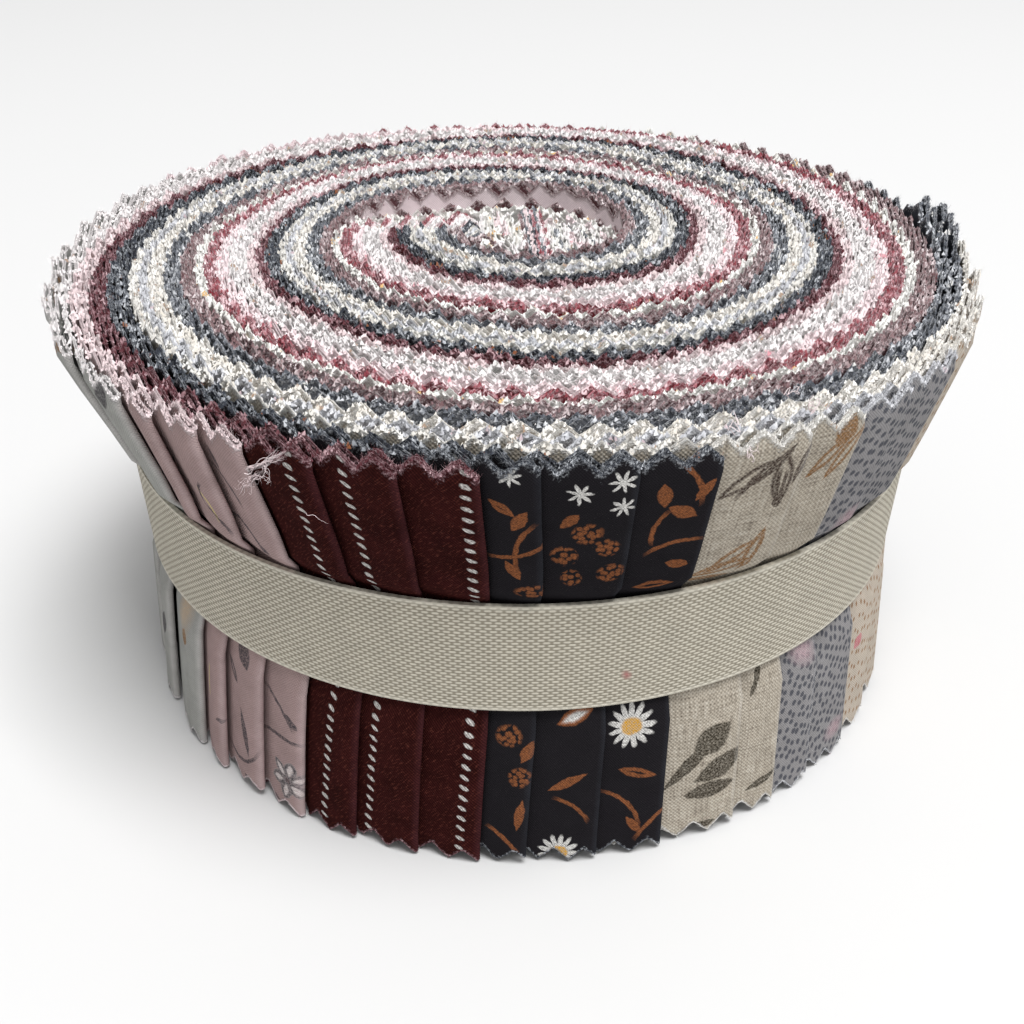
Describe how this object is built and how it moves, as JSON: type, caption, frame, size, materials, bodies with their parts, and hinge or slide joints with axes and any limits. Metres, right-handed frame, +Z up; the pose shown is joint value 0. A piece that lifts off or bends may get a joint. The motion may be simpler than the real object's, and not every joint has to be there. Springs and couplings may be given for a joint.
{
  "type": "fabric strip roll",
  "caption": "Roll of pinked cotton fabric strips in mixed prints and solids, standing on its cut edges and held round the waist by a woven cotton tape.",
  "frame": {"origin": "centre of the roll's box on the plane it stands on", "axes": "+Z up along the roll's axis, -Y towards the front, where the printed strips show"},
  "size_m": [0.1278, 0.1278, 0.0648],
  "materials": {
    "wound_cotton": "matte",
    "woven_tape": "matte"
  },
  "bodies": {
    "root": {"strip_roll": "wound_cotton", "tape": "woven_tape"}
  },
  "joints": []
}
